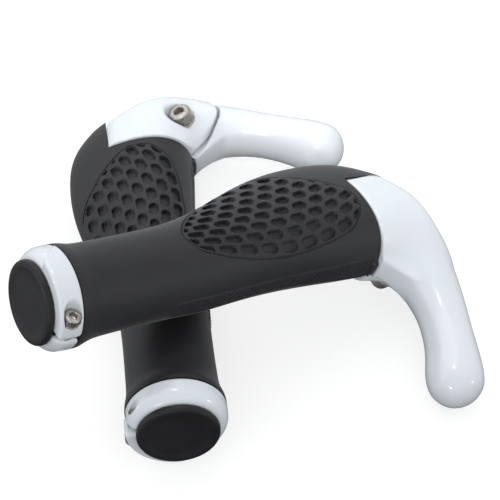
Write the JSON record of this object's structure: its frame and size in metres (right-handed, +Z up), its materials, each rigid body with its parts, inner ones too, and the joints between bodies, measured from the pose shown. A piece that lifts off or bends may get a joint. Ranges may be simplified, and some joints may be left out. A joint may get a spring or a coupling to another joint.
{
  "type": "pair of bar end grips",
  "caption": "Left and right lock-on bicycle grips with palm rests, split lock rings, push-in end plugs and clamped white bar ends, lying crossed.",
  "frame": {"origin": "on the table under the middle of the pair", "axes": "+Z up; the right grip's bar runs roughly along +Y with its bar end away from -Y, and the left grip lies across it, its plug towards -X and its horn towards -Y"},
  "size_m": [0.1578, 0.1626, 0.0782],
  "materials": {
    "grip_rubber": "matte charcoal rubber with a soft sheen, pitted on the palm pads and knurled on the finger side",
    "sleeve_nylon": "plain black nylon",
    "plug_plastic": "satin near-black plastic",
    "white_paint": "glossy cool white paint over aluminium",
    "bright_steel": "nickel-plated steel, lightly worn"
  },
  "bodies": {
    "right_grip_body": {"right_rubber_grip": "grip_rubber", "right_core_sleeve": "sleeve_nylon"},
    "right_plug_body": {"right_end_plug": "plug_plastic"},
    "right_ring_body": {"right_lock_ring": "white_paint"},
    "right_ring_washer_body": {"right_lock_ring_washer": "bright_steel"},
    "right_ring_bolt_body": {"right_lock_ring_bolt": "bright_steel"},
    "right_horn_body": {"right_bar_end": "white_paint"},
    "right_clamp_washer_body": {"right_bar_end_washer": "bright_steel"},
    "right_clamp_bolt_body": {"right_bar_end_bolt": "bright_steel"},
    "left_grip_body": {"left_rubber_grip": "grip_rubber", "left_core_sleeve": "sleeve_nylon"},
    "left_plug_body": {"left_end_plug": "plug_plastic"},
    "left_ring_body": {"left_lock_ring": "white_paint"},
    "left_ring_washer_body": {"left_lock_ring_washer": "bright_steel"},
    "left_ring_bolt_body": {"left_lock_ring_bolt": "bright_steel"},
    "left_horn_body": {"left_bar_end": "white_paint"},
    "left_clamp_washer_body": {"left_bar_end_washer": "bright_steel"},
    "left_clamp_bolt_body": {"left_bar_end_bolt": "bright_steel"}
  },
  "joints": [
    {"name": "right_plug_pull", "type": "slide", "parent": "right_grip_body", "child": "right_plug_body", "axis": [0.1149, -0.9933, 0.0105], "range_m": [0, 0.025]},
    {"name": "right_ring_turn", "type": "hinge", "parent": "right_grip_body", "child": "right_ring_body", "pos_m": [-0.0254, -0.07295, 0.01755], "axis": [-0.1149, 0.9933, -0.0105], "continuous": true},
    {"name": "right_ring_washer_back", "type": "slide", "parent": "right_ring_body", "child": "right_ring_washer_body", "axis": [-0.0456, -0.0158, -0.9988], "range_m": [0, 0.001]},
    {"name": "right_ring_bolt_turn", "type": "hinge", "parent": "right_ring_washer_body", "child": "right_ring_bolt_body", "pos_m": [-0.03969, -0.07459, 0.01823], "axis": [-0.0456, -0.0158, -0.9988], "range_deg": [0, 720]},
    {"name": "right_bar_end_slide", "type": "slide", "parent": "right_grip_body", "child": "right_horn_body", "axis": [-0.1149, 0.9933, -0.0105], "range_m": [0, 0.02]},
    {"name": "right_clamp_washer_back", "type": "slide", "parent": "right_horn_body", "child": "right_clamp_washer_body", "axis": [-0.3342, -0.0287, 0.9421], "range_m": [0, 0.0024]},
    {"name": "right_clamp_bolt_turn", "type": "hinge", "parent": "right_clamp_washer_body", "child": "right_clamp_bolt_body", "pos_m": [-0.02856, 0.06335, 0.03207], "axis": [-0.3342, -0.0287, 0.9421], "range_deg": [0, 1080]},
    {"name": "left_grip_lift", "type": "slide", "parent": "right_grip_body", "child": "left_grip_body", "axis": [0, 0, 1], "range_m": [0, 0.1]},
    {"name": "left_plug_pull", "type": "slide", "parent": "left_grip_body", "child": "left_plug_body", "axis": [-0.8204, -0.5047, 0.2689], "range_m": [0, 0.025]},
    {"name": "left_ring_turn", "type": "hinge", "parent": "left_grip_body", "child": "left_ring_body", "pos_m": [-0.06565, -0.05802, 0.06042], "axis": [0.8204, 0.5047, -0.2689], "continuous": true},
    {"name": "left_ring_washer_back", "type": "slide", "parent": "left_ring_body", "child": "left_ring_washer_body", "axis": [0.3182, -0.0121, 0.9479], "range_m": [0, 0.001]},
    {"name": "left_ring_bolt_turn", "type": "hinge", "parent": "left_ring_washer_body", "child": "left_ring_bolt_body", "pos_m": [-0.05881, -0.07045, 0.05796], "axis": [0.3182, -0.0121, 0.9479], "range_deg": [0, 720]},
    {"name": "left_bar_end_slide", "type": "slide", "parent": "left_grip_body", "child": "left_horn_body", "axis": [0.8204, 0.5047, -0.2689], "range_m": [0, 0.02]},
    {"name": "left_clamp_washer_back", "type": "slide", "parent": "left_horn_body", "child": "left_clamp_washer_body", "axis": [-0.4881, 0.373, -0.7891], "range_m": [0, 0.0024]},
    {"name": "left_clamp_bolt_turn", "type": "hinge", "parent": "left_clamp_washer_body", "child": "left_clamp_bolt_body", "pos_m": [0.04542, 0.00109, 0.00594], "axis": [-0.4881, 0.373, -0.7891], "range_deg": [0, 1080]}
  ],
  "couplings": [
    {"joint": "right_ring_bolt_turn", "follows": "right_ring_washer_back", "rad_per_m": 12566},
    {"joint": "right_clamp_bolt_turn", "follows": "right_clamp_washer_back", "rad_per_m": 7854},
    {"joint": "left_ring_bolt_turn", "follows": "left_ring_washer_back", "rad_per_m": 12566},
    {"joint": "left_clamp_bolt_turn", "follows": "left_clamp_washer_back", "rad_per_m": 7854}
  ]
}
